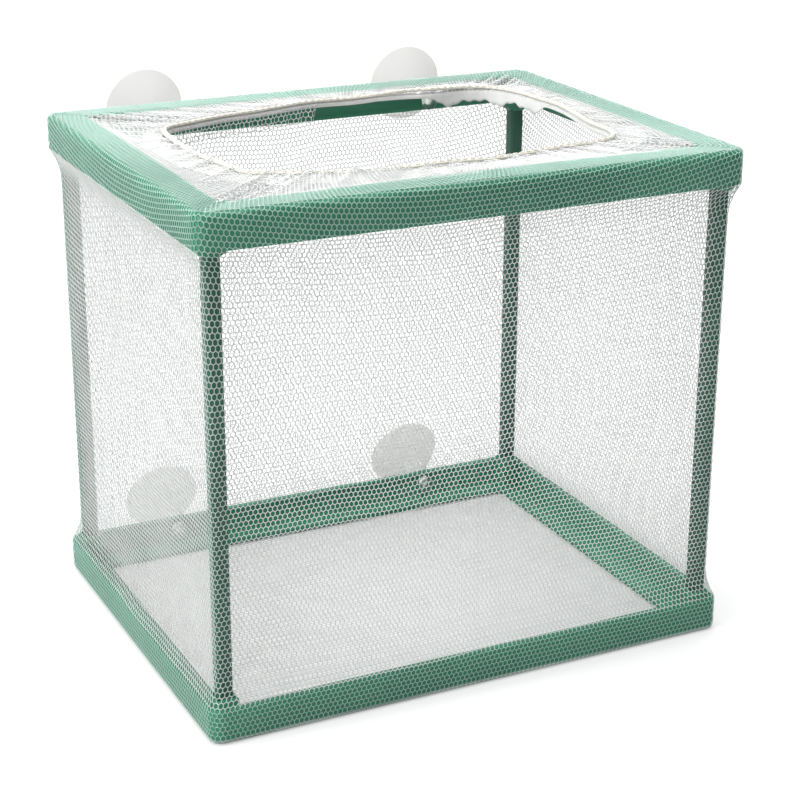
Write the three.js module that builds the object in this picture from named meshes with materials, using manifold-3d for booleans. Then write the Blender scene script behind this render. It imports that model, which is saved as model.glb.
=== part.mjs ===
// Fish breeding box: a net bag drawn over a green plastic frame, with four suction cups behind it.
// Millimetres, +Z up. X runs along the front and Y from the front to the back, where the cups are.
// The origin is on the surface that the box stands on, under the middle of its outer size.

import * as THREE from 'three';
import { mergeVertices } from 'three/addons/utils/BufferGeometryUtils.js';
import Module from 'manifold-3d';

const wasm = await Module();
wasm.setup();

// Outer size of the box over its net, without the cups
const boxWidth = 160;
const boxDepth = 126;
const boxHeight = 145;

// Net bag
const netThickness = 0.4;
const netClearance = 0.3;
const seamGap = 0.3;
const netBorder = 2;
const threadWidth = 1.4;
const netPitch = 25;
const topNetPitch = 12;
const flareHeight = 9;
const netCornerRadius = 4;
const waistCornerRadius = 1.3;

// Frame moulding, the same at the top and at the bottom
const wallThickness = 2;
const wallHeight = 9.5;
const flangeWidth = 9.3;
const flangeThickness = 1.6;
const frameEdgeRound = 1.2;
const windowCornerRadius = 2.5;
const bossWall = 1.1;
const bossRise = 2;
const bossChamfer = 0.9;
const bossCornerEase = 1.1;

// Corner posts
const postSide = 4.2;
const postInset = 2.9;
const postChamfer = 0.5;
const postClearance = 0.3;

// Mouth of the bag, set in from the box's sides and from its front and back
const mouthSideInset = 21.5;
const mouthFrontInset = 20.3;
const mouthCurvePower = 3.4;
const hemWidth = 3;
const hemHeight = 2.4;
const hemSlit = 0.5;
const elasticDiameter = 1;
const elasticClearance = 0.3;

// Suction cups. Lengths along a cup's axis start from the middle of the frame's back wall.
const cupDiameter = 24;
const cupLength = 16.4;
const cupSideInset = 35.8;
const cupHoleHeight = 6.2;
const cupClearance = 0.3;
const highCupTilt = THREE.MathUtils.degToRad(8);
const neckDiameter = 2.6;
const headDiameter = 5.4;
const headThickness = 1.2;
const headCrown = 0.6;
const hubDiameter = 7.4;
const hubRound = 0.8;
const bowlStart = 7.8;
const bowlPower = 1.3;
const cupRimWidth = 1.1;
const cupLipThickness = 0.9;
const cupHollowDepth = 4.4;

// Facets
const cornerSteps = 4;
const mouthSteps = 32;
const bossCornerSteps = 1;
const edgeRoundSteps = 3;
const gapSides = 6;
const holeSides = 16;
const cupSides = 24;
const cupBowlSteps = 5;
const hemSides = 8;
const elasticSides = 6;

// One overrun for every cutting solid
const cutOverrun = 1;

// Sizes that follow
const halfWidth = boxWidth / 2;
const halfDepth = boxDepth / 2;
const frameInset = netThickness + netClearance;
const frameHalfWidth = halfWidth - frameInset;
const frameHalfDepth = halfDepth - frameInset;
const frameCornerRadius = netCornerRadius - frameInset;
const frameBottom = frameInset;
const frameTop = boxHeight - frameInset;
const postCentreX = frameHalfWidth - postInset - postSide / 2;
const postCentreY = frameHalfDepth - postInset - postSide / 2;
const waistInset = frameInset + postInset - netClearance - netThickness;
const mouthHalfWidth = halfWidth - mouthSideInset;
const mouthHalfDepth = halfDepth - mouthFrontInset;
const netTopMiddle = boxHeight - netThickness / 2;

// The cups pass through the frames' back walls. A low cup leans on the surface that the box stands on,
// so its axis tilts up, and the holes, heads and hubs leave room for that tilt.
const cupX = halfWidth - cupSideInset;
const cupWallMiddle = frameHalfDepth - wallThickness / 2;
const cupLowHeight = frameBottom + cupHoleHeight;
const cupHighHeight = frameTop - cupHoleHeight;
const lipStart = cupLength - cupLipThickness;
const lipAngle = Math.atan2(cupDiameter / 2, lipStart);
const lipDistance = Math.hypot(cupDiameter / 2, lipStart);
const lowCupTilt = lipAngle - Math.asin((cupLowHeight - cupClearance) / lipDistance);
const frameHoleRadius = tiltedHoleRadius(wallThickness / 2);
const netHoleRadius = tiltedHoleRadius(wallThickness / 2 + frameInset);
const headSeat = -tiltedSeat(wallThickness / 2, headDiameter / 2);
const hubSeat = tiltedSeat(wallThickness / 2 + frameInset, hubDiameter / 2);
const cupReach = cupLength * Math.cos(lowCupTilt) + cupDiameter / 2 * Math.sin(lowCupTilt)
  - wallThickness / 2 - frameInset;

// Radius that clears a tilted neck where it leaves a hole, at a distance from the wall's middle
function tiltedHoleRadius(distance) {
  return neckDiameter / 2 / Math.cos(lowCupTilt) + distance * Math.tan(lowCupTilt) + cupClearance;
}

// Distance along a tilted axis at which a flat shoulder of that radius clears a face
function tiltedSeat(distance, radius) {
  return (distance + cupClearance + radius * Math.sin(lowCupTilt)) / Math.cos(lowCupTilt);
}

// Materials
const frameGreen = new THREE.MeshStandardMaterial({ color: 0x3e8a68, roughness: 0.42, metalness: 0 });
const postGreen = new THREE.MeshStandardMaterial({ color: 0x2f5f4c, roughness: 0.45, metalness: 0 });
const netWhite = new THREE.MeshStandardMaterial({ color: 0xf0f2f0, roughness: 0.8, metalness: 0 });
const hemCream = new THREE.MeshStandardMaterial({ color: 0xefeee2, roughness: 0.85, metalness: 0 });
const elasticWhite = new THREE.MeshStandardMaterial({ color: 0xe8e6dc, roughness: 0.75, metalness: 0 });
const cupClear = new THREE.MeshStandardMaterial({ color: 0xe4e5e1, roughness: 0.3, metalness: 0 });

// Solids

function toSolid(geometry) {
  const plain = geometry.clone();
  plain.deleteAttribute('normal');
  plain.deleteAttribute('uv');
  const merged = mergeVertices(plain);
  return new wasm.Manifold(new wasm.Mesh({
    numProp: 3,
    vertProperties: new Float32Array(merged.attributes.position.array),
    triVerts: new Uint32Array(merged.index.array)
  }));
}

function toGeometry(solid) {
  const mesh = solid.getMesh();
  const shared = new THREE.BufferGeometry();
  shared.setAttribute('position', new THREE.BufferAttribute(new Float32Array(mesh.vertProperties), 3));
  shared.setIndex(new THREE.BufferAttribute(new Uint32Array(mesh.triVerts), 1));
  const faceted = shared.toNonIndexed();
  faceted.computeVertexNormals();
  return faceted;
}

function joined(solids) {
  return solids.reduce((sum, solid) => sum.add(solid));
}

// A level loop: a rounded rectangle at height z, its points anticlockwise seen from above
function roundedLoop(halfX, halfY, radius, z, steps) {
  const signs = [[1, 1], [-1, 1], [-1, -1], [1, -1]];
  return signs.flatMap(([signX, signY], corner) => {
    const points = [];
    for (let step = 0; step <= steps; step += 1) {
      const angle = (corner + step / steps) * Math.PI / 2;
      points.push(new THREE.Vector3(
        signX * (halfX - radius) + radius * Math.cos(angle),
        signY * (halfY - radius) + radius * Math.sin(angle),
        z
      ));
    }
    return points;
  });
}

function bandFaces(lower, upper, count) {
  const faces = [];
  for (let i = 0; i < count; i += 1) {
    const next = (i + 1) % count;
    faces.push(lower + i, lower + next, upper + next, lower + i, upper + next, upper + i);
  }
  return faces;
}

function indexedGeometry(points, faces) {
  const geometry = new THREE.BufferGeometry();
  geometry.setFromPoints(points);
  geometry.setIndex(faces);
  return geometry;
}

// A closed solid through a stack of level loops, lowest first, with flat ends
function lofted(loops) {
  const count = loops[0].length;
  const points = loops.flat();
  const faces = [];
  for (let level = 1; level < loops.length; level += 1) {
    faces.push(...bandFaces((level - 1) * count, level * count, count));
  }
  const topLevel = (loops.length - 1) * count;
  const lowCentre = points.push(new THREE.Vector3(0, 0, loops[0][0].z)) - 1;
  const highCentre = points.push(new THREE.Vector3(0, 0, loops[loops.length - 1][0].z)) - 1;
  for (let i = 0; i < count; i += 1) {
    const next = (i + 1) % count;
    faces.push(lowCentre, next, i, highCentre, topLevel + i, topLevel + next);
  }
  return indexedGeometry(points, faces);
}

function roundedBlock(halfX, halfY, radius, lowZ, highZ) {
  return toSolid(lofted([lowZ, highZ].map((z) => roundedLoop(halfX, halfY, radius, z, cornerSteps))));
}

function boxSolid(sizeX, sizeY, sizeZ, centre) {
  return toSolid(new THREE.BoxGeometry(sizeX, sizeY, sizeZ).translate(...centre));
}

function rodAlongY(radius, length, centre, sides) {
  return toSolid(new THREE.CylinderGeometry(radius, radius, length, sides).translate(...centre));
}

const cornerSigns = [[-1, -1], [1, -1], [-1, 1], [1, 1]];
const leftAndRight = [-1, 1];

// Frame moulding: a wall with an inward flange at its foot, and a socket for a post in each corner.
// It is drawn with the flange down and its outer face at z = 0.

function outerEdgeLoops() {
  const loops = [];
  for (let step = 0; step <= edgeRoundSteps; step += 1) {
    const angle = step / edgeRoundSteps * Math.PI / 2;
    const inset = frameEdgeRound * (1 - Math.sin(angle));
    loops.push(roundedLoop(
      frameHalfWidth - inset,
      frameHalfDepth - inset,
      frameCornerRadius - inset,
      frameEdgeRound * (1 - Math.cos(angle)),
      cornerSteps
    ));
  }
  loops.push(roundedLoop(frameHalfWidth, frameHalfDepth, frameCornerRadius, wallHeight, cornerSteps));
  return loops;
}

function bossSolid(signX, signY) {
  const half = postSide / 2 + postClearance + bossWall;
  const top = wallHeight + bossRise;
  const loops = [
    [half, frameEdgeRound],
    [half, top - bossChamfer],
    [half - bossChamfer, top]
  ].map(([size, z]) => roundedLoop(size, size, bossCornerEase, z, bossCornerSteps));
  return toSolid(lofted(loops).translate(signX * postCentreX, signY * postCentreY, 0));
}

function frameMoulding() {
  const pocket = roundedBlock(
    frameHalfWidth - wallThickness,
    frameHalfDepth - wallThickness,
    frameCornerRadius - wallThickness,
    flangeThickness,
    wallHeight + cutOverrun
  );
  const window = roundedBlock(
    frameHalfWidth - flangeWidth,
    frameHalfDepth - flangeWidth,
    windowCornerRadius,
    -cutOverrun,
    wallHeight
  );
  const ring = toSolid(lofted(outerEdgeLoops())).subtract(pocket).subtract(window);
  const bosses = cornerSigns.map(([signX, signY]) => bossSolid(signX, signY));
  const socketSide = postSide + 2 * postClearance;
  const socketDepth = wallHeight + bossRise - flangeThickness + cutOverrun;
  const sockets = cornerSigns.map(([signX, signY]) => boxSolid(socketSide, socketSide, socketDepth, [
    signX * postCentreX,
    signY * postCentreY,
    flangeThickness + socketDepth / 2
  ]));
  const cupHoles = leftAndRight.map((side) => rodAlongY(
    frameHoleRadius,
    wallThickness + 2 * cutOverrun,
    [side * cupX, cupWallMiddle, cupHoleHeight],
    holeSides
  ));
  return toGeometry(joined([ring, ...bosses]).subtract(joined([...sockets, ...cupHoles])));
}

// Corner post: a square bar with its long edges eased

function postGeometry() {
  const half = postSide / 2;
  const eased = half - postChamfer;
  const outline = new THREE.Shape([
    new THREE.Vector2(half, -eased),
    new THREE.Vector2(half, eased),
    new THREE.Vector2(eased, half),
    new THREE.Vector2(-eased, half),
    new THREE.Vector2(-half, eased),
    new THREE.Vector2(-half, -eased),
    new THREE.Vector2(-eased, -half),
    new THREE.Vector2(eased, -half)
  ]);
  const end = flangeThickness + postClearance;
  const length = frameTop - frameBottom - 2 * end;
  return new THREE.ExtrudeGeometry(outline, { depth: length, bevelEnabled: false });
}

// Net bag: flat panels of honeycomb, drawn much coarser than the real mesh

function gapRadius(pitch) {
  return (pitch - threadWidth) / Math.sqrt(3);
}

// Centres of the gaps of a honeycomb about (0, 0), all those that reach within the half sizes
function honeycombCentres(halfAcross, halfAlong, pitch) {
  const rowPitch = pitch * Math.sqrt(3) / 2;
  const rows = Math.round(halfAlong / rowPitch);
  const centres = [];
  for (let row = -rows; row <= rows; row += 1) {
    const shift = row % 2 === 0 ? 0 : pitch / 2;
    const columns = Math.round(halfAcross / pitch);
    for (let column = -columns - 1; column <= columns; column += 1) {
      const across = (column + 1 / 2) * pitch - shift;
      if (Math.abs(across) < halfAcross + pitch / 4) {
        centres.push([across, row * rowPitch]);
      }
    }
  }
  return centres;
}

function gapPrism(pitch, depth) {
  return new THREE.CylinderGeometry(gapRadius(pitch), gapRadius(pitch), depth, gapSides);
}

const panelCutDepth = 2 * (waistInset + netThickness + cutOverrun);
const sideNetLow = netThickness + seamGap;
const sideNetHigh = boxHeight - netThickness - seamGap;

function sideNetLoops(offset, overrun) {
  const flare = wallHeight + flareHeight;
  const levels = [
    [sideNetLow - overrun, 0],
    [frameBottom + wallHeight, 0],
    [frameBottom + flare, waistInset],
    [frameTop - flare, waistInset],
    [frameTop - wallHeight, 0],
    [sideNetHigh + overrun, 0]
  ];
  return levels.map(([z, inset]) => roundedLoop(
    halfWidth - inset - offset,
    halfDepth - inset - offset,
    (inset === 0 ? netCornerRadius : waistCornerRadius + netThickness) - offset,
    z,
    cornerSteps
  ));
}

function sideNetRing() {
  const inside = toSolid(lofted(sideNetLoops(netThickness, cutOverrun)));
  return toSolid(lofted(sideNetLoops(0, 0))).subtract(inside);
}

// A wedge between the diagonals of two corners, which cuts one side out of the ring of side nets
function cornerWedge(halfAlong, halfAcross) {
  const reach = netCornerRadius + waistInset + cutOverrun;
  const trim = seamGap / Math.sqrt(2);
  const outline = new THREE.Shape([
    new THREE.Vector2(-halfAlong - cutOverrun + trim, -halfAcross - cutOverrun),
    new THREE.Vector2(halfAlong + cutOverrun - trim, -halfAcross - cutOverrun),
    new THREE.Vector2(halfAlong - reach - trim, -halfAcross + reach),
    new THREE.Vector2(-halfAlong + reach + trim, -halfAcross + reach)
  ]);
  return new THREE.ExtrudeGeometry(outline, { depth: boxHeight, bevelEnabled: false });
}

// One side panel, cut from the ring where its front is once the ring is turned about Z
function sidePanel(ring, turn, halfAlong, halfAcross, isClear = () => true) {
  const acrossClear = halfAlong - waistInset - netBorder;
  const alongClear = (sideNetHigh - sideNetLow) / 2 - netBorder;
  const region = new THREE.BoxGeometry(2 * acrossClear, panelCutDepth, 2 * alongClear);
  const prisms = honeycombCentres(acrossClear, alongClear, netPitch)
    .filter(([across, along]) => isClear(across, along))
    .map(([across, along]) => gapPrism(netPitch, panelCutDepth).translate(across, 0, along));
  const inPlace = (geometry) => toSolid(geometry.translate(0, -halfAcross, boxHeight / 2).rotateZ(turn));
  const gaps = joined(prisms.map(inPlace)).intersect(inPlace(region));
  const wedge = toSolid(cornerWedge(halfAlong, halfAcross).rotateZ(turn));
  return ring.intersect(wedge).subtract(gaps);
}

function clearOfCups(across, along) {
  const reach = gapRadius(netPitch) + netHoleRadius + threadWidth;
  return [cupLowHeight, cupHighHeight].every((height) => leftAndRight.every((side) => Math.hypot(
    across - side * cupX,
    boxHeight / 2 + along - height
  ) >= reach));
}

function sideNets() {
  const ring = sideNetRing();
  const cupHoles = [cupLowHeight, cupHighHeight].flatMap((height) => leftAndRight.map((side) => rodAlongY(
    netHoleRadius,
    panelCutDepth,
    [side * cupX, halfDepth, height],
    holeSides
  )));
  const back = sidePanel(ring, Math.PI, halfWidth, halfDepth, clearOfCups).subtract(joined(cupHoles));
  return {
    net_front: toGeometry(sidePanel(ring, 0, halfWidth, halfDepth)),
    net_right: toGeometry(sidePanel(ring, Math.PI / 2, halfDepth, halfWidth)),
    net_back: toGeometry(back),
    net_left: toGeometry(sidePanel(ring, -Math.PI / 2, halfDepth, halfWidth))
  };
}

// A flat panel is drawn with its lower face at z = 0
function flatGaps(centres, pitch) {
  return joined(centres.map(([x, y]) => toSolid(
    gapPrism(pitch, netThickness + 2 * cutOverrun)
      .rotateX(Math.PI / 2)
      .translate(x, y, netThickness / 2)
  )));
}

function flatSheet() {
  return roundedBlock(halfWidth, halfDepth, netCornerRadius, 0, netThickness);
}

function bottomNet() {
  const inset = frameInset + flangeWidth;
  const [halfX, halfY] = [halfWidth - inset, halfDepth - inset];
  const region = roundedBlock(halfX, halfY, windowCornerRadius, -cutOverrun, netThickness + cutOverrun);
  const gaps = flatGaps(honeycombCentres(halfX, halfY, netPitch), netPitch);
  return toGeometry(flatSheet().subtract(gaps.intersect(region)));
}

// The mouth's outline, a superellipse, moved outward by an amount and set at height z
function mouthLoop(outward, z) {
  const bulge = (share) => Math.sign(share) * Math.abs(share) ** (2 / mouthCurvePower);
  return Array.from({ length: mouthSteps }, (_, step) => {
    const angle = 2 * Math.PI * step / mouthSteps;
    return new THREE.Vector3(
      (mouthHalfWidth + outward) * bulge(Math.cos(angle)),
      (mouthHalfDepth + outward) * bulge(Math.sin(angle)),
      z
    );
  });
}

function evenly(half, spaces) {
  return Array.from({ length: spaces + 1 }, (_, i) => -half + 2 * half * i / spaces);
}

// One row of gaps round the top, midway between the hem and the frame, and one more inside each corner
function topGapCentres() {
  const wallInset = frameInset + wallThickness;
  const rowX = (mouthHalfWidth + hemWidth + halfWidth - wallInset) / 2;
  const rowY = (mouthHalfDepth + hemWidth + halfDepth - wallInset) / 2;
  const alongX = evenly(rowX, Math.floor(2 * rowX / topNetPitch));
  const spaceY = 2 * gapRadius(topNetPitch) + threadWidth;
  const alongY = evenly(rowY, Math.floor(2 * rowY / spaceY)).slice(1, -1);
  const rows = leftAndRight.flatMap((side) => [
    ...alongX.map((x) => [x, side * rowY]),
    ...alongY.map((y) => [side * rowX, y])
  ]);
  const extras = cornerSigns.map(([signX, signY]) => [
    signX * (rowX - topNetPitch),
    signY * (rowY - topNetPitch)
  ]);
  return [...rows, ...extras];
}

function topNet() {
  const edge = hemWidth + seamGap;
  const mouth = toSolid(lofted([-cutOverrun, netThickness + cutOverrun].map((z) => mouthLoop(edge, z))));
  return toGeometry(flatSheet().subtract(mouth).subtract(flatGaps(topGapCentres(), topNetPitch)));
}

// Mouth: a hem folded round its elastic, open by a slit on its underside

function ovalPoint(radiusAcross, radiusUp, angle) {
  return [radiusAcross * Math.cos(angle), radiusUp * Math.sin(angle)];
}

// A closed ring: each point of the section, outward and up, runs round the hem's middle line
function mouthRing(section) {
  const loops = section.map(([outward, up]) => mouthLoop(hemWidth / 2 + outward, up));
  const faces = loops.flatMap((loop, k) => bandFaces(
    k * mouthSteps, ((k + 1) % loops.length) * mouthSteps, mouthSteps
  ));
  return indexedGeometry(loops.flat(), faces);
}

function hemGeometry() {
  const slitAngle = hemSlit / hemHeight;
  const start = -Math.PI / 2 + slitAngle;
  const sweep = 2 * Math.PI - 2 * slitAngle;
  const bore = elasticDiameter / 2 + elasticClearance;
  const section = [];
  for (let side = 0; side <= hemSides; side += 1) {
    section.push(ovalPoint(hemWidth / 2, hemHeight / 2, start + sweep * side / hemSides));
  }
  for (let side = hemSides; side >= 0; side -= 1) {
    section.push(ovalPoint(bore, bore, start + sweep * side / hemSides));
  }
  return mouthRing(section);
}

function elasticGeometry() {
  const radius = elasticDiameter / 2;
  const section = [];
  for (let side = 0; side < elasticSides; side += 1) {
    section.push(ovalPoint(radius, radius, 2 * Math.PI * side / elasticSides));
  }
  return mouthRing(section);
}

// Suction cup: button head, neck, hub and bowl, turned about Y, with its rim at the far end

function cupGeometry() {
  const neckRadius = neckDiameter / 2;
  const headRadius = headDiameter / 2;
  const hubRadius = hubDiameter / 2;
  const cupRadius = cupDiameter / 2;
  const sealRadius = cupRadius - cupRimWidth;
  const headEnd = headSeat - headThickness;
  const profile = [
    [0, headEnd],
    [headRadius - headCrown, headEnd],
    [headRadius, headEnd + headCrown],
    [headRadius, headSeat],
    [neckRadius, headSeat],
    [neckRadius, hubSeat],
    [hubRadius - hubRound, hubSeat],
    [hubRadius, hubSeat + hubRound]
  ];
  for (let step = 0; step <= cupBowlSteps; step += 1) {
    const share = step / cupBowlSteps;
    const radius = hubRadius + (cupRadius - hubRadius) * share;
    profile.push([radius, bowlStart + (lipStart - bowlStart) * share ** bowlPower]);
  }
  profile.push([cupRadius, cupLength], [sealRadius, cupLength]);
  for (let step = 1; step <= cupBowlSteps; step += 1) {
    const share = 1 - step / cupBowlSteps;
    profile.push([sealRadius * share, cupLength - cupHollowDepth * (1 - share * share)]);
  }
  const points = profile.map(([radius, along]) => new THREE.Vector2(radius, along));
  return new THREE.LatheGeometry(points, cupSides);
}

// Assembly

function piece(name, geometry, material, position = [0, 0, 0]) {
  const mesh = new THREE.Mesh(geometry, material.clone());
  mesh.name = name;
  mesh.position.set(...position);
  return mesh;
}

function buildFrames() {
  const moulding = frameMoulding();
  const bottomFrame = piece('bottom_frame', moulding, frameGreen, [0, 0, frameBottom]);
  const topFrame = piece('top_frame', moulding, frameGreen, [0, 0, frameTop]);
  topFrame.rotation.y = Math.PI;
  return [bottomFrame, topFrame];
}

function buildPosts() {
  const foot = frameBottom + flangeThickness + postClearance;
  const geometry = postGeometry();
  return cornerSigns.map(([signX, signY]) => {
    const name = `post_${signY < 0 ? 'front' : 'back'}_${signX < 0 ? 'left' : 'right'}`;
    return piece(name, geometry, postGreen, [signX * postCentreX, signY * postCentreY, foot]);
  });
}

function buildNets() {
  const sides = Object.entries(sideNets()).map(([name, geometry]) => piece(name, geometry, netWhite));
  return [
    ...sides,
    piece('net_bottom', bottomNet(), netWhite),
    piece('net_top', topNet(), netWhite, [0, 0, boxHeight - netThickness])
  ];
}

function buildMouth() {
  return [
    piece('mouth_hem', hemGeometry(), hemCream, [0, 0, netTopMiddle]),
    piece('mouth_elastic', elasticGeometry(), elasticWhite, [0, 0, netTopMiddle])
  ];
}

function buildCups() {
  const geometry = cupGeometry();
  const levels = [
    ['top', cupHighHeight, highCupTilt],
    ['bottom', cupLowHeight, lowCupTilt]
  ];
  return levels.flatMap(([level, height, tilt]) => leftAndRight.map((side) => {
    const name = `suction_cup_${level}_${side < 0 ? 'left' : 'right'}`;
    const cup = piece(name, geometry, cupClear, [side * cupX, cupWallMiddle, height]);
    cup.rotation.x = tilt;
    return cup;
  }));
}

const breedingBox = new THREE.Group();
breedingBox.position.y = -cupReach / 2;
breedingBox.add(...buildFrames(), ...buildPosts(), ...buildNets(), ...buildMouth(), ...buildCups());

export default breedingBox;
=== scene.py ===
import math
from contextlib import contextmanager

import bmesh
import bpy
import numpy as np
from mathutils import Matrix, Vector


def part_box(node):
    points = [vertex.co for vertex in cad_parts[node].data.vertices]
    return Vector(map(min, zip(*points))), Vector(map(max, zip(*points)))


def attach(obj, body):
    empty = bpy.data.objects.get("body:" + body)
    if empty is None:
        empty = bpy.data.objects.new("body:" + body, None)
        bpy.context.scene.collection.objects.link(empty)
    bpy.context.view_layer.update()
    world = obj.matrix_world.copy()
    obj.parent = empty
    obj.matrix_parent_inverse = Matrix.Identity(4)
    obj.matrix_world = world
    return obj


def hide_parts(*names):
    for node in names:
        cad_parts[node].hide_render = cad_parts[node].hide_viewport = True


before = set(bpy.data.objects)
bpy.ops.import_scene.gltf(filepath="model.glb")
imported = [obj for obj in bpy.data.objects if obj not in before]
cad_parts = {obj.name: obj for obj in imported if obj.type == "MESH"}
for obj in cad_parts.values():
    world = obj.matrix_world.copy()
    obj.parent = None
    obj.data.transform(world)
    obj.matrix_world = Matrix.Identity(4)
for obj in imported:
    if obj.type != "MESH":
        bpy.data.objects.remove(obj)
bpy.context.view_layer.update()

# Fish breeding box. Shapes are worked out in millimetres about the box's middle, x along the front,
# y towards the back and z up from the surface that the box stands on.
MM = 0.001
net_low, net_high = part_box("net_bottom")
CENTRE_Y = (net_low.y + net_high.y) / 2 / MM

# Net bag. Rows and columns count holes. A corner's radius shrinks by CORNER_TIGHTENING of what the
# net is drawn in by.
HALF_WIDTH = 80.0
HALF_DEPTH = 63.0
BOX_HEIGHT = 145.0
NET_MIDDLE = 0.45
WAIST_DRAW = 2.9
FOLD_RADIUS = 1.3
FOLD_GAP = 0.22
BAND_CORNER = 3.55
CORNER_TIGHTENING = 0.88
WALL_EDGE = 10.2
FLARE = 9.0
THREAD_WIDTH = 0.26
THREAD_HEIGHT = 0.18
FRONT_COLUMNS = 112
SIDE_COLUMNS = 88
NET_ROWS = 109
ROW_LIFT = 9.6
SLACK = 0.35
SLACK_START = 14.0
STILL_REACH = 20.0

# Top panel. Pleats reach along a share of a side and are a share of it apart.
TOP_SAG = 0.5
RISE_REACH = 7.0
PLEAT_REACH = 0.22
PLEAT_PITCH = 0.036
PLEAT_HEIGHT = 0.9
LINING_START = 0.6
LINING_DROP = 0.24

# The four sides: quarter turns from the front, columns of holes, half the side's length, and how far it
# stands from the box's middle
FRONT = (0, FRONT_COLUMNS, HALF_WIDTH, HALF_DEPTH)
RIGHT = (1, SIDE_COLUMNS, HALF_DEPTH, HALF_WIDTH)
BACK = (2, FRONT_COLUMNS, HALF_WIDTH, HALF_DEPTH)
LEFT = (3, SIDE_COLUMNS, HALF_DEPTH, HALF_WIDTH)

# Frame and cups
FLANGE_REACH = 10.0
POST_REACH = 7.8
CUP_X = 44.2
CUP_WALL_MIDDLE = 61.3
CUP_LOW_HEIGHT = 6.9
CUP_HIGH_HEIGHT = 138.1
CUP_LOW_TILT = math.radians(18.071)
CUP_HIGH_TILT = math.radians(8)
PLUG_LENGTH = 3.4
NECK_RADIUS = 1.3
NECK_CLEARANCE = 0.45
NECK_SPREAD = 7.0
NECK_STILL = 14.0

# Points closer together than this become one
THREAD_WELD = 0.001
WELD = 0.002

# Mouth: the hem's middle line, measured along the photograph's camera rays
HEM_HEIGHT = 144.7
HEM_LINE = [
    (-52.6, 30.2), (-45.8, 33.7), (-32.7, 38.3), (-20.1, 40.7), (-7.2, 43.3), (3.4, 44.9),
    (15.2, 44.6), (26.8, 43.9), (35.4, 42.2), (47.1, 42.6), (55.9, 38.4), (60.8, 27.2),
    (61.8, 10.0), (59.7, -11.5), (57.1, -28.2), (51.1, -37.0), (39.4, -39.4), (25.2, -41.2),
    (8.5, -42.7), (-6.6, -41.7), (-19.8, -39.1), (-33.2, -36.4), (-47.4, -32.0), (-53.4, -28.0),
    (-55.2, -19.5), (-57.4, -4.8), (-58.1, 14.8), (-56.3, 24.5),
]
HEM_HALF_WIDTH = 0.7
HEM_HALF_HEIGHT = 0.5
HEM_RIPPLE = 0.07
ELASTIC_RADIUS = 0.3
CASING_WIDTH = 9.5
CASING_THICKNESS = 0.16
CASING_DROP = 0.9
FRILL_DROP = 2.4
FACING_TUCKED = 0.4
FACING_DEEP = 5.6


# Meshes

def mesh_from(name, points, faces):
    """A mesh from points in millimetres about the box's middle and faces of equal length."""
    placed = (points + [0, CENTRE_Y, 0]) * MM
    mesh = bpy.data.meshes.new(name)
    mesh.vertices.add(len(placed))
    mesh.vertices.foreach_set("co", placed.astype(np.float32).ravel())
    mesh.loops.add(faces.size)
    mesh.loops.foreach_set("vertex_index", faces.astype(np.int32).ravel())
    mesh.polygons.add(len(faces))
    mesh.polygons.foreach_set("loop_start", np.arange(0, faces.size, faces.shape[1], dtype=np.int32))
    mesh.update(calc_edges=True)
    mesh.validate()
    return mesh


@contextmanager
def reworked(mesh):
    """The mesh opened for bmesh operators and written back at the end."""
    work = bmesh.new()
    work.from_mesh(mesh)
    yield work
    work.to_mesh(mesh)
    work.free()


def in_scene(name, data):
    """A new object, linked to the scene, for a mesh, a lamp or a camera."""
    thing = bpy.data.objects.new(name, data)
    bpy.context.scene.collection.objects.link(thing)
    return thing


def add_piece(name, mesh, body, finish):
    """A piece of the object that rides on a body and takes the finish it is given."""
    piece = in_scene(name, mesh)
    piece.data.materials.clear()
    piece.data.materials.append(finish)
    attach(piece, body)
    return piece


def close_threads(mesh):
    """Welds the points that clipping brought together and caps the cut ends of the threads."""
    with reworked(mesh) as work:
        bmesh.ops.remove_doubles(work, verts=work.verts, dist=THREAD_WELD * MM)
        bmesh.ops.holes_fill(work, edges=[edge for edge in work.edges if edge.is_boundary], sides=0)
        bmesh.ops.triangulate(work, faces=[face for face in work.faces if len(face.verts) > 3])
    return mesh


def smooth(piece):
    """Gives the piece smooth shading."""
    piece.data.polygons.foreach_set("use_smooth", np.ones(len(piece.data.polygons), bool))
    return piece


def grid_faces(rings, sides, close_rings=False):
    """Quads of a grid whose rows of points are rings that close on themselves."""
    last = rings if close_rings else rings - 1
    ring, side = np.meshgrid(np.arange(last), np.arange(sides), indexing="ij")
    next_ring, next_side = (ring + 1) % rings, (side + 1) % sides
    corners = [
        ring * sides + side, ring * sides + next_side,
        next_ring * sides + next_side, next_ring * sides + side,
    ]
    return np.stack(corners, -1).reshape(-1, 4)


def ease(share):
    """A smooth step: zero up to 0, one from 1, with flat ends."""
    held = np.clip(share, 0, 1)
    return held * held * (3 - 2 * held)


# Honeycomb threads

RIDGE_TOP, RIDGE_BOTTOM = 6, 7


def cell_points(across, up):
    """The eight points of one cell: six corners of its hole at the back of the threads, and the ridges
    over its top and bottom knots. The hole is the hexagon whose sides are moved in by half a thread."""
    half_thread = THREAD_WIDTH / 2
    knot = 2 * up / 3
    lean = -2 * up / (3 * across)
    top = knot - half_thread * math.hypot(1, lean)
    side = across / 2 - half_thread
    shoulder = top + lean * side
    back, ridge = -THREAD_HEIGHT / 2, THREAD_HEIGHT / 2
    return np.array([
        (side, shoulder, back), (0, top, back), (-side, shoulder, back),
        (-side, -shoulder, back), (0, -top, back), (side, -shoulder, back),
        (0, knot, ridge), (0, -knot, ridge),
    ])


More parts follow.
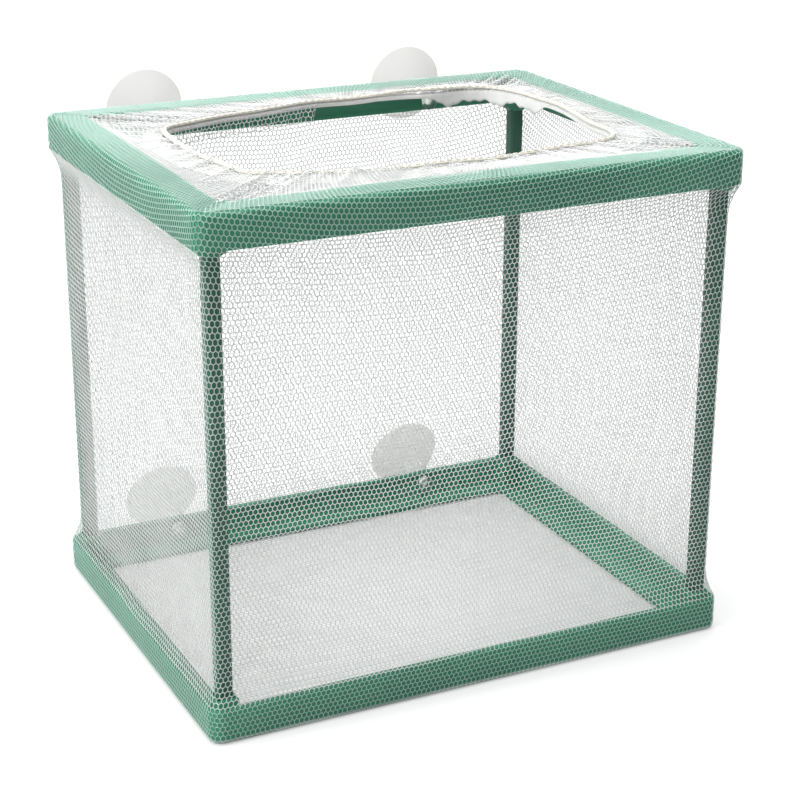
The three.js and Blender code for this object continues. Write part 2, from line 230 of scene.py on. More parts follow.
def honeycomb(columns, rows, across, up):
    """Threads of a honeycomb net as points (along, up, out) and triangles. Cell (i, j) is i pitches
    along, half a pitch more on even rows, and j rows up. Each thread is a closed three-sided bar: a
    flat back and two faces that meet in a ridge, joined three by three in the knots."""
    i, j = np.meshgrid(np.arange(*columns), np.arange(*rows))
    middle = np.stack([(i + (j % 2 == 0) / 2) * across, j * up, np.zeros(i.shape)], -1)
    points = (middle[:, :, None, :] + cell_points(across, up)).reshape(-1, 3)
    number = np.arange(len(points)).reshape(i.shape + (8,))
    r = np.arange(1, i.shape[0] - 2)[:, None]
    c = np.arange(1, i.shape[1] - 1)[None, :]
    lean = np.where(j[r, 0] % 2 == 0, 0, -1)
    own = [number[r, c, k] for k in range(8)]
    ul = [number[r + 1, c + lean, k] for k in range(8)]
    ur = [number[r + 1, c + lean + 1, k] for k in range(8)]
    ll = [number[r - 1, c + lean, k] for k in range(8)]
    lr = [number[r - 1, c + lean + 1, k] for k in range(8)]
    above = number[r + 2, c, RIDGE_BOTTOM]
    knot = own[RIDGE_TOP]
    quads = [
        (knot, ul[RIDGE_BOTTOM], own[2], own[1]), (knot, ul[5], ul[4], ul[RIDGE_BOTTOM]),
        (knot, own[1], own[0], ur[RIDGE_BOTTOM]), (knot, ur[RIDGE_BOTTOM], ur[4], ur[3]),
        (knot, above, ul[0], ul[5]), (knot, ur[3], ur[2], above),
        (own[1], own[2], ul[4], ul[5]), (own[1], ur[3], ur[4], own[0]),
        (ul[5], ul[0], ur[2], ur[3]),
    ]
    backs = [(own[1], ul[5], ur[3]), (own[4], lr[2], ll[0])]
    halves = [(q[0], q[a], q[a + 1]) for q in quads for a in (1, 2)]
    faces = np.concatenate([
        np.stack([np.broadcast_to(x, knot.shape) for x in face], -1).reshape(-1, 3)
        for face in halves + backs
    ])
    return points, faces


def clipped(points, faces, ends, low, high):
    """The threads cut off at the two ends along and at low and high up: points beyond an edge move
    onto it, and faces that lie wholly on an edge are left out, as are the points that no face uses."""
    along, up, out = points.T
    edges = [along >= ends[1], along <= ends[0], up >= high, up <= low]
    gone = np.any([edge[faces].all(1) for edge in edges], axis=0)
    held = np.stack([np.clip(along, *ends), np.clip(up, low, high), out], -1)
    return used_only(held, faces[~gone])


def used_only(points, faces):
    used, numbers = np.unique(faces, return_inverse=True)
    return points[used], numbers.reshape(faces.shape)


def turned(along, out, turn):
    """A point of the front, along it and out from the box's middle, carried to a side: quarter turns
    anticlockwise seen from above."""
    angle = turn * math.pi / 2
    x, y = along, -out
    return x * math.cos(angle) - y * math.sin(angle), x * math.sin(angle) + y * math.cos(angle)


def side_loop(share, half_along, half_out, radius):
    """One side of a rounded rectangle from corner middle to corner middle, share -1 to 1 of its run:
    straight, then an arc of an eighth of a turn. Returns along, out and the outward normal."""
    straight = half_along - radius
    run = np.abs(share) * (straight + radius * math.pi / 4)
    angle = np.clip((run - straight) / radius, 0, None)
    along = np.minimum(run, straight) + radius * np.sin(angle)
    out = half_out - radius + radius * np.cos(angle)
    return np.sign(share) * along, out, np.sign(share) * np.sin(angle), np.cos(angle)


def corner_radius(inset):
    return BAND_CORNER - CORNER_TIGHTENING * (inset - NET_MIDDLE)


def side_profile():
    """The bag's side seen in section, from the bottom panel's edge to the top panel's: a fold, the band
    over the frame, the draw-in to the posts, and the same back out. Inset and height for each distance
    along it, with the normal's share outwards and upwards."""
    turn = np.linspace(-math.pi / 2, 0, 16)
    fold_inset = NET_MIDDLE + FOLD_RADIUS * (1 - np.cos(turn))
    fold_height = FOLD_GAP + FOLD_RADIUS * (1 + np.sin(turn))
    share = np.linspace(0, 1, 20)
    draw_inset = NET_MIDDLE + WAIST_DRAW * (1 - (1 - share) ** 2)
    draw_height = WALL_EDGE + FLARE * share
    low_inset = np.concatenate([fold_inset, draw_inset])
    low_height = np.concatenate([fold_height, draw_height])
    inset = np.concatenate([low_inset, low_inset[::-1]])
    height = np.concatenate([low_height, BOX_HEIGHT - low_height[::-1]])
    steps = np.hypot(np.diff(inset), np.diff(height))
    keep = np.concatenate([[True], steps > 0])
    inset, height = inset[keep], height[keep]
    distance = np.concatenate([[0], np.cumsum(np.hypot(np.diff(inset), np.diff(height)))])
    outwards, upwards = np.gradient(height, distance), np.gradient(inset, distance)
    return distance, inset, height, outwards, upwards


PROFILE_UP, PROFILE_INSET, PROFILE_HEIGHT, PROFILE_OUTWARDS, PROFILE_UPWARDS = side_profile()
SIDE_HEIGHT = PROFILE_UP[-1]
ROW_PITCH = SIDE_HEIGHT / NET_ROWS


def row_shift(share, up):
    """How far the rows of the net rise where they were pulled up over the top frame's corners."""
    return ROW_LIFT * share ** 2 * ease((up - SIDE_HEIGHT / 2) / (SIDE_HEIGHT / 2))


def wander(along, up, reach, phase):
    """Slow waves of the threads, nothing at the corners where two panels meet."""
    hold = (1 - (along / reach) ** 2) * ease(up / STILL_REACH) * ease((SIDE_HEIGHT - up) / STILL_REACH)
    sideways = 0.5 * np.sin(up / 17 + phase) + 0.3 * np.sin(up / 6.1 + along / 23 + 2 * phase)
    upwards = 0.6 * np.sin(along / 13 + phase) + 0.3 * np.sin(along / 5.3 + up / 19 + phase)
    return hold * sideways, hold * upwards


def neck_opening(along, up, along_neck, up_neck, across):
    """The mesh round a cup's neck: the nearest hole slides over to it and its threads are spread."""
    near = np.hypot(along - along_neck, up - up_neck)
    row = np.round(up_neck / ROW_PITCH)
    column_shift = 0.5 if row % 2 == 0 else 0
    column = np.round(along_neck / across - column_shift)
    slide = np.exp(-(near / NECK_SPREAD) ** 2)
    along = along + slide * (along_neck - (column + column_shift) * across)
    up = up + slide * (up_neck - row * ROW_PITCH)
    off_along, off_up = along - along_neck, up - up_neck
    near = np.maximum(np.hypot(off_along, off_up), 1e-6)
    clear = NECK_RADIUS + NECK_CLEARANCE
    spread = np.where(near < NECK_SPREAD, clear * (1 - near / NECK_SPREAD) ** 2, 0)
    return along + off_along / near * spread, up + off_up / near * spread


def side_net(name, turn, columns, half_along, half_out, phase, necks, span):
    """A side panel, or the span of it that a piece draws: the honeycomb laid on the surface that the
    section sweeps round the rounded rectangle, its rows lifted at the top corners, and cut off at the
    corner middles, the folds and the ends of the span."""
    straight = half_along - NET_MIDDLE - BAND_CORNER
    reach = straight + BAND_CORNER * math.pi / 4
    across = 2 * reach / columns
    half = columns // 2
    first, last = int(half * span[0]) - 3, int(half * span[1]) + 4
    points, faces = honeycomb((first, last), (-11, NET_ROWS + 4), across, ROW_PITCH)
    along, up, out = points.T
    for neck_along, neck_up in necks:
        along, up = neck_opening(along, up, neck_along, neck_up, across)
    side_move, up_move = wander(along, up, reach, phase)
    near_neck = np.zeros(len(along))
    for neck_along, neck_up in necks:
        away = np.hypot(along - neck_along, up - neck_up)
        near_neck = np.maximum(near_neck, np.exp(-(away / NECK_STILL) ** 4))
    still = 1 - near_neck
    along = along + side_move * still
    up = up + up_move * still
    up = up + row_shift(np.clip(along / reach, -1, 1), up) * still
    ends = (reach * span[0], reach * span[1])
    points, faces = clipped(np.stack([along, up, out], -1), faces, ends, 0, SIDE_HEIGHT)
    along, up, out = points.T
    inset, height = np.interp(up, PROFILE_UP, PROFILE_INSET), np.interp(up, PROFILE_UP, PROFILE_HEIGHT)
    share = along / reach
    slack = SLACK * np.sin(along / 11 + phase) * np.sin(up / 15 + 2 * phase) + SLACK
    above = ease((height - SLACK_START) / STILL_REACH)
    below = ease((BOX_HEIGHT - SLACK_START - height) / STILL_REACH)
    inset = inset + slack * (1 - share ** 8) * above * below
    loop_along, loop_out, lean_along, lean_out = side_loop(
        share, half_along - inset, half_out - inset, corner_radius(inset)
    )
    level = np.interp(up, PROFILE_UP, PROFILE_OUTWARDS)
    rise = np.interp(up, PROFILE_UP, PROFILE_UPWARDS)
    loop_along = loop_along + out * level * lean_along
    loop_out = loop_out + out * level * lean_out
    x, y = turned(loop_along, loop_out, turn)
    mesh = close_threads(mesh_from(name, np.stack([x, y, height + out * rise], -1), faces))
    return add_piece(name, mesh, "box", net_finish)


# The mouth's line and the top panel

def closed_spline(corners, count):
    """A closed curve through the corners: on each stretch a cubic whose ends run along the line between
    the neighbours (Catmull-Rom), then points at even distances along it."""
    knots = np.array(corners)
    before, after, beyond = np.roll(knots, 1, 0), np.roll(knots, -1, 0), np.roll(knots, -2, 0)
    t = np.linspace(0, 1, 24, endpoint=False)[None, :, None]
    a, b, c, d = (k[:, None, :] for k in (before, knots, after, beyond))
    curve = 0.5 * (2 * b + (c - a) * t + (2 * a - 5 * b + 4 * c - d) * t ** 2
                   + (3 * b - a - 3 * c + d) * t ** 3)
    curve = curve.reshape(-1, 2)
    steps = np.hypot(*np.diff(np.vstack([curve, curve[:1]]), axis=0).T)
    distance = np.concatenate([[0], np.cumsum(steps)])
    even = np.linspace(0, distance[-1], count, endpoint=False)
    around = np.vstack([curve, curve[:1]])
    return np.stack([np.interp(even, distance, around[:, k]) for k in (0, 1)], -1), distance[-1]


def soften(line, passes):
    """Each point of the closed line becomes the mean of itself, twice, and its two neighbours."""
    for _ in range(passes):
        line = (np.roll(line, 1, 0) + 2 * line + np.roll(line, -1, 0)) / 4
    return line


HEM_STEPS = 1440
hem_path, HEM_LENGTH = closed_spline(HEM_LINE[::-1], HEM_STEPS)
hem_path = soften(hem_path, 60)
hem_tangent = np.roll(hem_path, -1, 0) - np.roll(hem_path, 1, 0)
hem_tangent /= np.hypot(*hem_tangent.T)[:, None]
hem_outward = np.stack([hem_tangent[:, 1], -hem_tangent[:, 0]], -1)


def hem_at(position, outward=0.0):
    """A point of the hem's line at a position from 0 to 1 round it, moved outward."""
    place = (np.asarray(position) % 1) * HEM_STEPS
    low = np.floor(place).astype(int) % HEM_STEPS
    part = (place - np.floor(place))[..., None]
    high = (low + 1) % HEM_STEPS
    point = hem_path[low] * (1 - part) + hem_path[high] * part
    normal = hem_outward[low] * (1 - part) + hem_outward[high] * part
    return point + normal * np.asarray(outward)[..., None]


def corner_positions():
    """Where the hem's line passes the directions of its four corners, front right first."""
    angle = np.arctan2(hem_path[:, 1] / 44, hem_path[:, 0] / 60)
    wanted = [-3, -1, 1, 3]
    return [int(np.argmin(np.abs(angle - quarter * math.pi / 4))) / HEM_STEPS for quarter in wanted]


front_left_turn, front_right_turn, back_right_turn, back_left_turn = corner_positions()
MOUTH_SPANS = {
    0: (front_left_turn, front_right_turn),
    1: (front_right_turn, back_right_turn),
    2: (back_right_turn, back_left_turn),
    3: (back_left_turn, front_left_turn),
}


def gathers(position, share):
    """Height of the gathers: sines of three pitches round the mouth, growing towards the hem."""
    turn = 2 * math.pi * position
    folds = (
        0.42 * np.sin(37 * turn + 2 * np.sin(3 * turn))
        + 0.30 * np.sin(61 * turn + 1.5 * np.sin(5 * turn + 1))
        + 0.20 * np.sin(97 * turn + np.sin(7 * turn))
    )
    return folds * share ** 1.6


def corner_pleats(share_along, share_in):
    """Folds that run from each frame corner to the mouth's corner, steep and close together."""
    near = np.clip(1 - (1 - np.abs(share_along)) / PLEAT_REACH, 0, 1)
    wave = np.cos(math.pi * (1 - np.abs(share_along)) / PLEAT_PITCH)
    return PLEAT_HEIGHT * near ** 1.5 * wave * np.sin(math.pi * np.clip(share_in, 0, 1) ** 0.8)


def top_net_side(turn, columns, half_along, half_out, lining):
    """A quarter of the top panel: its columns carry on from the side panel's and run in along straight
    lines to the hem, its rows lie at even distances from the fold. The lining lies half a pitch off and
    just under it."""
    straight = half_along - NET_MIDDLE - BAND_CORNER
    reach = straight + BAND_CORNER * math.pi / 4
    across = 2 * reach / columns
    half = columns // 2
    rows = (NET_ROWS - 12, NET_ROWS + 38)
    points, faces = honeycomb((-half - 2, half + 3), rows, across, ROW_PITCH)
    along, up, out = points.T
    share = np.clip(along / reach, -1, 1)
    up = up + row_shift(share, np.maximum(up, SIDE_HEIGHT)) - SIDE_HEIGHT
    if lining:
        along, up = along + 0.4 * across, up + 0.5 * ROW_PITCH + 0.4 * np.sin(along / 9)
    inset = NET_MIDDLE + FOLD_RADIUS + (LINING_START if lining else 0)
    radius = corner_radius(inset)
    begin, end = MOUTH_SPANS[turn]
    end = end + 1 if end < begin else end

    def lines(share):
        loop_along, loop_out, _, _ = side_loop(share, half_along - inset, half_out - inset, radius)
        start = np.stack(turned(loop_along, loop_out, turn), -1)
        position = begin + (end - begin) * (share + 1) / 2
        return start, hem_at(position, np.full(share.shape, 0.3)), position

    start, stop, _ = lines(share)
    depth = np.hypot(*(stop - start).T)
    points, faces = clipped(np.stack([along, up, out], -1), faces, (-reach, reach), 0, depth)
    along, up, out = points.T
    share = along / reach
    start, stop, position = lines(share)
    depth = np.hypot(*(stop - start).T)
    share_in = up / depth
    level = start + (stop - start) * share_in[:, None]
    beyond_flange = ease((up - FLANGE_REACH + inset) / RISE_REACH)
    height = gathers(position, share_in) + corner_pleats(share, share_in)
    height = BOX_HEIGHT - FOLD_GAP + (height - TOP_SAG * np.sin(math.pi * share_in)) * beyond_flange
    if lining:
        height = height - LINING_DROP * (1 + beyond_flange)
    return np.column_stack([level, height + out]), faces


def top_net(name, lining):
    """The top panel or its lining, as one piece of four quarters."""
    parts = [top_net_side(*side, lining) for side in (FRONT, RIGHT, BACK, LEFT)]
    starts = np.cumsum([0] + [len(points) for points, _ in parts])
    points = np.concatenate([part[0] for part in parts])
    faces = np.concatenate([part[1] + start for part, start in zip(parts, starts)])
    mesh = close_threads(mesh_from(name, points, faces))
    return add_piece(name, mesh, "box", net_finish)


def bottom_net():
    """The bottom panel: a flat honeycomb inside a rounded rectangle. Points beyond its outline move
    straight in towards the rectangle of the corner arcs' centres."""
    inset = NET_MIDDLE + FOLD_RADIUS
    half_x, half_y = HALF_WIDTH - inset, HALF_DEPTH - inset
    radius = corner_radius(inset)
    across = 2 * half_x / (FRONT_COLUMNS - 2)
    half, rows = FRONT_COLUMNS // 2 + 2, int(half_y / across) + 3
    points, faces = honeycomb((-half, half + 1), (-rows, rows + 1), across, across)
    x, y, out = points.T
    x = x + 0.5 * np.sin(y / 15)
    y = y + 0.4 * np.sin(x / 12 + 1)
    off_x = x - np.clip(x, radius - half_x, half_x - radius)
    off_y = y - np.clip(y, radius - half_y, half_y - radius)
    away = np.hypot(off_x, off_y)
    beyond = away >= radius
    pull = np.where(beyond, radius / np.maximum(away, radius), 1)
    gone = beyond[faces].all(1)
    x, y = x - off_x * (1 - pull), y - off_y * (1 - pull)
    points, faces = used_only(np.stack([x, y, out], -1), faces[~gone])
    points[:, 2] = FOLD_GAP - points[:, 2]
    mesh = close_threads(mesh_from("net_bottom_mesh", points, faces[:, ::-1]))
    return add_piece("net_bottom_mesh", mesh, "box", net_finish)


def hem_heights(position):
    """Height of the hem's middle line: slow waves of the gathered mouth."""
    turn = 2 * math.pi * position
    waves = 0.35 * np.sin(3 * turn + 0.6) + 0.25 * np.sin(7 * turn + 1) + 0.15 * np.sin(11 * turn)
    return HEM_HEIGHT + waves


def ring_along_hem(name, section, steps, finish, ripple=0.0):
    """A ring with the section's points, outward and up, carried round the hem's line. The ripple
    swells and pinches the section in the gathers."""
    position = np.arange(steps) / steps
    turn = 2 * math.pi * position
    swell = 1 + ripple * (np.sin(140 * turn + 2 * np.sin(9 * turn)) + 0.6 * np.sin(233 * turn))
    outward = section[:, 0][None, :] * swell[:, None]
    up = section[:, 1][None, :] * swell[:, None]
    line = hem_at(position[:, None] + np.zeros_like(outward), outward)
    height = hem_heights(position)[:, None] + up
    points = np.concatenate([line, height[..., None]], -1).reshape(-1, 3)
    mesh = mesh_from(name, points, grid_faces(steps, len(section), True))
    return smooth(add_piece(name, mesh, "box", finish))


def hem_section():
    """A folded casing in section: an oval with a round bore, open by a slit underneath."""
    slit = 0.2
    sweep = np.linspace(-math.pi / 2 + slit, 1.5 * math.pi - slit, 20)
    skin = np.stack([HEM_HALF_WIDTH * np.cos(sweep), HEM_HALF_HEIGHT * np.sin(sweep)], -1)
    bore_radius = ELASTIC_RADIUS + 0.06
    bore = bore_radius * np.stack([np.cos(sweep[::-1]), np.sin(sweep[::-1])], -1)
    return np.concatenate([skin, bore])


def round_section(radius, sides):
    angle = np.arange(sides) * 2 * math.pi / sides
    return radius * np.stack([np.cos(angle), np.sin(angle)], -1)


def hem_stitches():
    """Short cream stitches in two rows on the hem: each a bead drawn out along the hem, six sides by
    five rings, its radius the half circle's height over its length."""
    spacing, length, radius, sides, rings = 2.2, 1.5, 0.12, 6, 5
    count = int(HEM_LENGTH / spacing)
    share = np.linspace(-1, 1, rings)
    angle = np.arange(sides) * 2 * math.pi / sides
    rows = []
    for outward, lift in ((0.35, 0.53), (-0.55, 0.42)):
        middle = np.arange(count) / count + (0.3 * spacing / HEM_LENGTH if outward < 0 else 0)
        position = middle[:, None] + share[None, :] * length / 2 / HEM_LENGTH
        swell = radius * np.sqrt(np.clip(1.08 - share ** 2, 0, 1))
        out = outward + swell[None, :, None] * np.cos(angle)[None, None, :] + 0 * position[:, :, None]
        up = lift + swell[None, :, None] * np.sin(angle)[None, None, :] + 0 * position[:, :, None]
        place = position[:, :, None] + 0 * out
        line = hem_at(place, out)
        height = hem_heights(place) + up
        rows.append(np.concatenate([line, height[..., None]], -1).reshape(-1, 3))
    points = np.concatenate(rows)
    per = rings * sides
    starts = np.arange(len(points) // per) * per
    faces = (grid_faces(rings, sides)[None] + starts[:, None, None]).reshape(-1, 4)
    triangles = np.concatenate([faces[:, [0, 1, 2]], faces[:, [0, 2, 3]]])
    fan = np.array([[0, k + 1, k] for k in range(1, sides - 1)])
    ends = np.concatenate([fan, (fan + per - sides)[:, ::-1]])
    caps = (ends[None] + starts[:, None, None]).reshape(-1, 3)
    mesh = mesh_from("mouth_stitches", points, np.concatenate([triangles, caps])[:, ::-1])
    return smooth(add_piece("mouth_stitches", mesh, "box", stitch_finish))


def facing_depth(position):
    """How far the turned-in net hangs below the hem: deep on the left of the back, tucked away
    elsewhere."""
    point = hem_at(position)
    x, y = point[..., 0], point[..., 1]
    back = ease((y - 26) / 6)
    deep = back * ease((x + 53) / 4) * (1 - ease((x + 3.2) / 2.2))
    return FACING_TUCKED + (FACING_DEEP - FACING_TUCKED) * deep


def mouth_facing():
    """The net's turned-in edge, hanging from the hem: a honeycomb strip whose waves grow downwards."""
    across = 1.5
    columns = int(HEM_LENGTH / across)
    across = HEM_LENGTH / columns
    points, faces = honeycomb((-2, columns + 3), (-3, 9), across, across)
    along, down, out = points.T
    depth = facing_depth(along / HEM_LENGTH)
    points, faces = clipped(np.stack([along, down, out], -1), faces, (0, HEM_LENGTH), 0, depth)
    along, down, out = points.T
    position = along / HEM_LENGTH
    wave = 0.12 * down * np.sin(position * 2 * math.pi * 83 + np.sin(position * 70))
    line = hem_at(position, wave - 0.75 + out)
    height = hem_heights(position) - 0.5 - down
    mesh = close_threads(mesh_from("mouth_facing", np.column_stack([line, height]), faces))
    return add_piece("mouth_facing", mesh, "box", net_finish)


def casing_reach(position):
    """How far the doubled cloth reaches out from the hem: slow waves, less at the back left corner,
    and never over a flange."""
    turn = 2 * math.pi * position
    x, y = hem_at(position).T
    gap = ease((-x - 38) / 8) * ease((y - 10) / 10)
    waves = 1 + 0.12 * np.sin(5 * turn + 1) + 0.08 * np.sin(13 * turn)
    width = CASING_WIDTH * waves * (1 - 0.45 * gap)
    room = np.minimum(HALF_WIDTH - np.abs(x), HALF_DEPTH - np.abs(y)) - FLANGE_REACH - 0.6
    return np.minimum(width, np.maximum(room, 2))


def frill_drop(position):
    """How far the casing's inner edge hangs below the hem: a wavy frill at the back right corner."""
    x, y = hem_at(position).T
    place = ease((x - 34) / 6) * ease((y - 14) / 8) * (1 - 0.8 * ease((6 - y) / 8))
    turn = 2 * math.pi * position
    waves = 0.6 * np.sin(23 * turn) + 0.4 * np.sin(41 * turn + 1) + 0.25 * np.sin(97 * turn + 2)
    return CASING_DROP + place * (FRILL_DROP + waves)


def mouth_casing():
    """The doubled edge of the bag round the hem, a thin closed ribbon: from its outer edge under the
    top net it runs in to the hem and turns down inside it. Its gathers are the top net's own with finer
    ones on them, and its section is its middle line moved half a thickness to either side."""
    across = 12
    position = np.arange(HEM_STEPS) / HEM_STEPS
    reach, drop = casing_reach(position), frill_drop(position)
    share = np.linspace(0, 1, across)
    bend = np.array([0.45, 0.0, -0.35, -0.5])
    out = np.concatenate([
        (share[::-1][None, :] * (reach[:, None] - 0.7)) + 0.7,
        bend[None, :] + 0 * position[:, None],
        -0.55 - 0.1 * share[None, 1:5] * drop[:, None],
    ], 1)
    part_in = 1 - np.clip(out / 16, 0, 1)
    fine_folds = 0.35 * np.sin(2 * math.pi * 173 * position)[:, None] * part_in ** 2
    folds = gathers(position[:, None], part_in) + fine_folds
    below = np.concatenate([
        np.full((HEM_STEPS, across), 0.55), np.full((HEM_STEPS, 4), [[0.5, 0.62, 0.75, 1.0]]),
        1.0 + (share[1:5] / share[4])[None, :] * drop[:, None],
    ], 1)
    level = np.clip(hem_heights(position), None, HEM_HEIGHT)[:, None]
    height = level - below + folds * np.clip(out, 0, 4) / 4
    middle = np.stack([out, height], -1)
    lean = np.gradient(middle, axis=1)
    lean /= np.maximum(np.hypot(lean[..., 0], lean[..., 1]), 1e-6)[..., None]
    normal = np.stack([-lean[..., 1], lean[..., 0]], -1) * CASING_THICKNESS / 2
    section = np.concatenate([middle + normal, (middle - normal)[:, ::-1]], 1)
    place = position[:, None] + 0 * section[..., 0]
    points = np.concatenate([hem_at(place, section[..., 0]), section[..., 1][..., None]], -1)
    faces = grid_faces(HEM_STEPS, section.shape[1], True)
    mesh = mesh_from("mouth_casing", points.reshape(-1, 3), faces)
    with reworked(mesh) as work:
        bmesh.ops.recalc_face_normals(work, faces=work.faces)
    return smooth(add_piece("mouth_casing", mesh, "box", casing_finish))


# Suction cups

def cup_profile():
    """Half the cup's section, radius and distance along its axis from the button head to the rim: arcs
    join the head, neck, hub and bowl; the hollow is a parabola."""
    def arc(radius, along, size, start, stop, steps=5):
        angle = np.radians(np.linspace(start, stop, steps))
        return [(radius + size * math.cos(a), along + size * math.sin(a)) for a in angle]
    head_low, head_high = -3.45, -2.3
    profile = [(0.0001, head_low)]
    profile += arc(2.05, head_low + 0.6, 0.6, -90, 0)
    profile += arc(2.45, head_high - 0.2, 0.2, 0, 90)
    profile += arc(1.6, head_high + 0.3, 0.3, -90, -180)
    profile += [(NECK_RADIUS, 0), (NECK_RADIUS, 3.3)]
    profile += arc(2.9, 4.3, 0.8, -90, 0)
    profile += [(3.7, 6.2), (3.74, 7.2)]
    share = np.linspace(0.04, 1, 16)
    profile += [(3.7 + 8.3 * s, 7.8 + 7.7 * s ** 1.3) for s in share]
    profile += arc(11.7, 15.95, 0.32, -40, 120, 6)
    profile += [(11.2, 16.05)]
    share = np.linspace(1, 0, 14)[1:]
    profile += [(max(10.9 * s, 0.0001), 16.2 - 4.4 * (1 - s * s)) for s in share]
    return np.array(profile)


def suction_cup(name, side, height, tilt, body, node):
    """A cup: its section turned about its axis, then tipped up and set in the frame's back wall. Its
    button head and neck are clear, the rest is milky."""
    sides = 96
    radius, along = cup_profile().T
    angle = np.arange(sides) * 2 * math.pi / sides
    x = radius[:, None] * np.cos(angle)
    up = radius[:, None] * np.sin(angle)
    y = along[:, None] + 0 * x
    points = np.stack([
        x + side * CUP_X,
        y * math.cos(tilt) - up * math.sin(tilt) + CUP_WALL_MIDDLE,
        y * math.sin(tilt) + up * math.cos(tilt) + height,
    ], -1).reshape(-1, 3)
    mesh = mesh_from(name, points, grid_faces(len(radius), sides))
    with reworked(mesh) as work:
        bmesh.ops.remove_doubles(work, verts=work.verts, dist=WELD * MM)
        bmesh.ops.recalc_face_normals(work, faces=work.faces)
    piece = smooth(add_piece(name, mesh, body, cup_finish))
    centres = np.empty(3 * len(mesh.polygons))
    mesh.polygons.foreach_get("center", centres)
    _, y, z = centres.reshape(-1, 3).T / MM
    out = y - CENTRE_Y - CUP_WALL_MIDDLE
    depth = out * math.cos(tilt) + (z - height) * math.sin(tilt)
    mesh.materials.append(plug_finish)
    mesh.polygons.foreach_set("material_index", (depth < PLUG_LENGTH).astype(np.int32))
    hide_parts(node)
    return piece


# Mouldings: a CAD node's own shape with its loose triangles merged and its edges softened

def moulding(name, node, finish, edge):
    """The piece for a CAD node, its edges rounded by so many millimetres."""
    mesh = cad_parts[node].data.copy()
    mesh.name = name
    with reworked(mesh) as work:
        bmesh.ops.remove_doubles(work, verts=work.verts, dist=WELD * MM)
        bmesh.ops.join_triangles(
            work, faces=work.faces,
            angle_face_threshold=math.radians(1), angle_shape_threshold=math.radians(60),
        )
    piece = smooth(add_piece(name, mesh, "box", finish))
    bevel = piece.modifiers.new("edge", "BEVEL")
    bevel.width = edge * MM
    bevel.segments = 2
    bevel.limit_method = "ANGLE"
    bevel.angle_limit = math.radians(28)
    bevel.harden_normals = True
    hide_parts(node)
    return piece


# Finishes

def shader_group(name, inputs, outputs):
    """An empty node group with the inputs, each a name and a number, and the outputs."""
    group = bpy.data.node_groups.new(name, "ShaderNodeTree")
    for label, value in inputs:
        socket = group.interface.new_socket(label, in_out="INPUT", socket_type="NodeSocketFloat")
        socket.default_value = value
    for label, kind in outputs:
        group.interface.new_socket(label, in_out="OUTPUT", socket_type=kind)
    return group, group.nodes.new("NodeGroupInput"), group.nodes.new("NodeGroupOutput")


def linked_math(tree, operation, first, second):
    """The output of a math node whose two values are numbers or other outputs."""
    node = tree.nodes.new("ShaderNodeMath")
    node.operation = operation
    for socket, value in zip(node.inputs, (first, second)):
        if isinstance(value, bpy.types.NodeSocket):
            tree.links.new(value, socket)
        else:
            socket.default_value = value
    return node.outputs[0]


def ranged(tree, value, low, high, low_result=0.0, high_result=1.0):
    """A value's range from low to high carried over to a range of results, and held at its ends."""
    node = tree.nodes.new("ShaderNodeMapRange")
    numbers = {"From Min": low, "From Max": high, "To Min": low_result, "To Max": high_result}
    for label, number in numbers.items():
        node.inputs[label].default_value = number
    tree.links.new(value, node.inputs["Value"])
    return node.outputs["Result"]


def seen_rays(tree):
    """One for what the camera sees, straight or through clear plastic."""
    rays = tree.nodes.new("ShaderNodeLightPath").outputs
    return linked_math(tree, "MAXIMUM", rays["Is Camera Ray"], rays["Is Transmission Ray"])


def grain_group():
    """Grain of a surface: fine noise over broad noise. Fine Scale and Broad Scale are in waves a metre;
    Height is their sum for a bump, and Mottle the broad noise alone."""
    group, given, result = shader_group(
        "surface_grain",
        [("Fine Scale", 4000.0), ("Broad Scale", 60.0), ("Broad Share", 0.3)],
        [("Height", "NodeSocketFloat"), ("Mottle", "NodeSocketFloat")],
    )
    place = group.nodes.new("ShaderNodeTexCoord")
    noises = []
    for label in ("Fine Scale", "Broad Scale"):
        noise = group.nodes.new("ShaderNodeTexNoise")
        noise.inputs["Detail"].default_value = 3
        group.links.new(place.outputs["Object"], noise.inputs["Vector"])
        group.links.new(given.outputs[label], noise.inputs["Scale"])
        noises.append(noise.outputs[0])
    broad = linked_math(group, "MULTIPLY", noises[1], given.outputs["Broad Share"])
    group.links.new(linked_math(group, "ADD", noises[0], broad), result.inputs["Height"])
    group.links.new(noises[1], result.inputs["Mottle"])
    return group


grain = grain_group()


def colour(red, green, blue):
    """A colour from its 8-bit display values."""
    def linear(value):
        share = value / 255
        return share / 12.92 if share <= 0.04045 else ((share + 0.055) / 1.055) ** 2.4
    return linear(red), linear(green), linear(blue), 1.0


